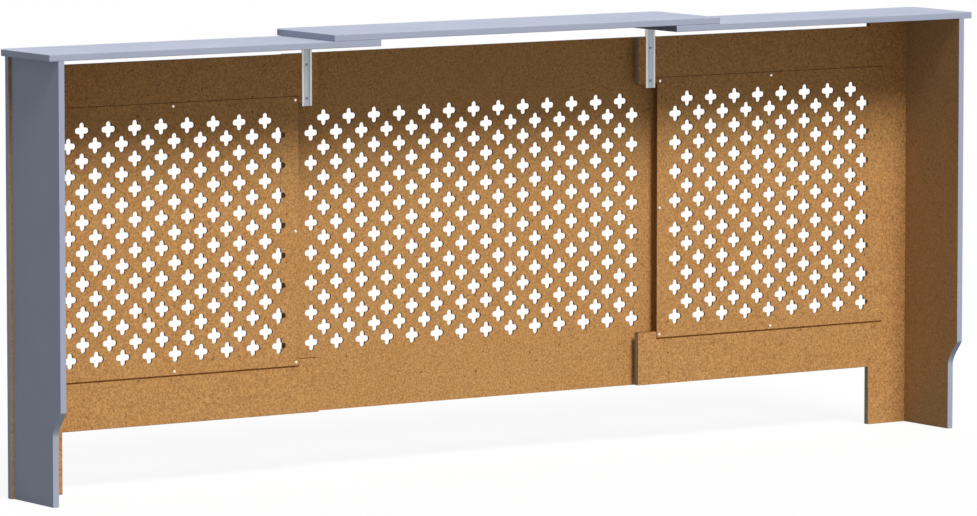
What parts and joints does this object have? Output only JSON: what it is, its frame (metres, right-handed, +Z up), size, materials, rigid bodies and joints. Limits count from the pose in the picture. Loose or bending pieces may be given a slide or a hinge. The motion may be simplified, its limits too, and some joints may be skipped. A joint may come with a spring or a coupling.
{
  "type": "radiator cover cabinet",
  "caption": "Extendable radiator cover cabinet: side units with lattice grilles slide under a high shelf and behind a centre panel; open back, toe space and skirting notches.",
  "frame": {"origin": "on the floor, at the middle of the cabinet's length and depth, pulled out", "axes": "+X along the length towards the cabinet's right end as seen from its front, +Y towards the wall, +Z up; the front faces -Y"},
  "size_m": [2.034, 0.208, 0.815],
  "materials": {
    "painted_board": "pale grey-blue satin paint on fibreboard",
    "raw_board": "raw brown fibreboard with fine fibres",
    "steel": "zinc-plated sheet steel",
    "beech": "plain beech dowel"
  },
  "bodies": {
    "centre_unit": {"centre_front_frame": "painted_board", "centre_lattice_sheet": "raw_board", "high_shelf": "painted_board", "left_glide_batten": "raw_board", "right_glide_batten": "raw_board", "left_hanger": "steel", "right_hanger": "steel"},
    "left_unit": {"left_side_panel": "painted_board", "left_front_frame": "raw_board", "left_lattice_sheet": "raw_board", "left_low_shelf": "painted_board", "left_angle_bracket": "steel", "left_post_dowel_1": "beech", "left_post_dowel_2": "beech", "left_shelf_dowel_1": "beech", "left_shelf_dowel_2": "beech", "left_shelf_dowel_3": "beech"},
    "right_unit": {"right_side_panel": "painted_board", "right_front_frame": "raw_board", "right_lattice_sheet": "raw_board", "right_low_shelf": "painted_board", "right_angle_bracket": "steel", "right_post_dowel_1": "beech", "right_post_dowel_2": "beech", "right_shelf_dowel_1": "beech", "right_shelf_dowel_2": "beech", "right_shelf_dowel_3": "beech"}
  },
  "joints": [
    {"name": "left_slide", "type": "slide", "parent": "centre_unit", "child": "left_unit", "axis": [1, 0, 0], "range_m": [0, 0.317]},
    {"name": "right_slide", "type": "slide", "parent": "centre_unit", "child": "right_unit", "axis": [-1, 0, 0], "range_m": [0, 0.317]}
  ]
}
